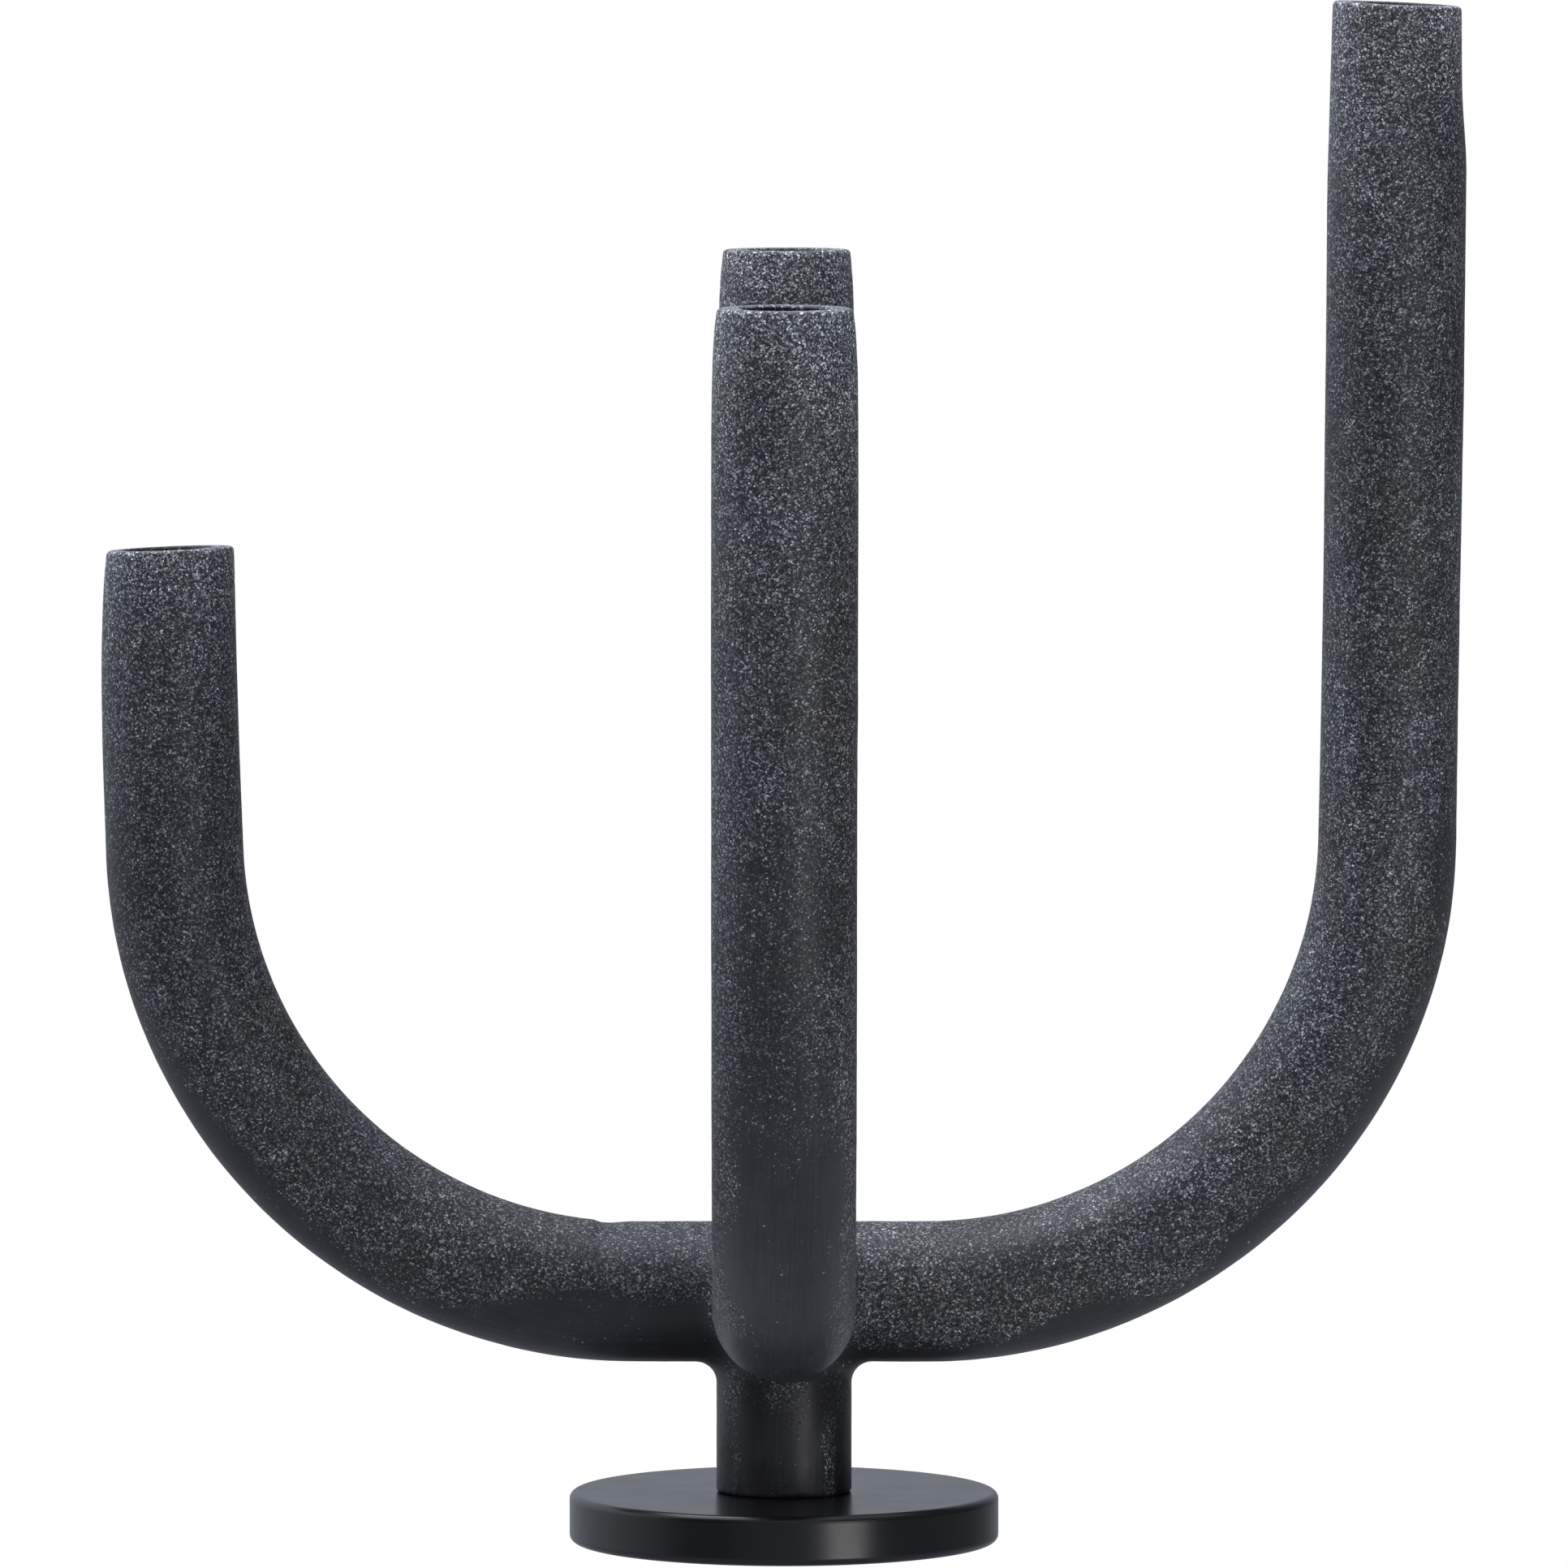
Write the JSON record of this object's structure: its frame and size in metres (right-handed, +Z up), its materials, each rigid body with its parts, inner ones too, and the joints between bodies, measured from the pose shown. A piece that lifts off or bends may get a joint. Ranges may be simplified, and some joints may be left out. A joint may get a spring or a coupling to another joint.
{
  "type": "tabletop candelabra",
  "caption": "Free-standing stone-composite candelabra: upturned round arms of stepped heights on a short stem and a flat steel disc, with a taper-candle socket in each arm's end.",
  "frame": {"origin": "centre of the surface that the base rests on", "axes": "+Z up along the stem, +X towards the tallest arm, -Y towards the front arm"},
  "size_m": [0.3608, 0.3606, 0.4089],
  "materials": {
    "stone": "charcoal cast stone composite, fine pale speckle, matt with smooth satin patches from the mould",
    "black_steel": "satin black powder coat",
    "mild_steel": "plain drawn steel",
    "zinc_steel": "zinc plated",
    "felt": "pressed felt"
  },
  "bodies": {
    "root": {"hub_stem": "stone", "left_arm": "stone", "right_arm": "stone", "front_arm": "stone", "back_arm": "stone", "left_arm_rod": "mild_steel", "right_arm_rod": "mild_steel", "front_arm_rod": "mild_steel", "back_arm_rod": "mild_steel", "core_block": "mild_steel", "stem_stud": "zinc_steel", "base_disc": "black_steel", "flat_washer": "zinc_steel", "spring_washer": "zinc_steel", "jam_nut": "zinc_steel", "felt_pad": "felt"}
  },
  "joints": []
}
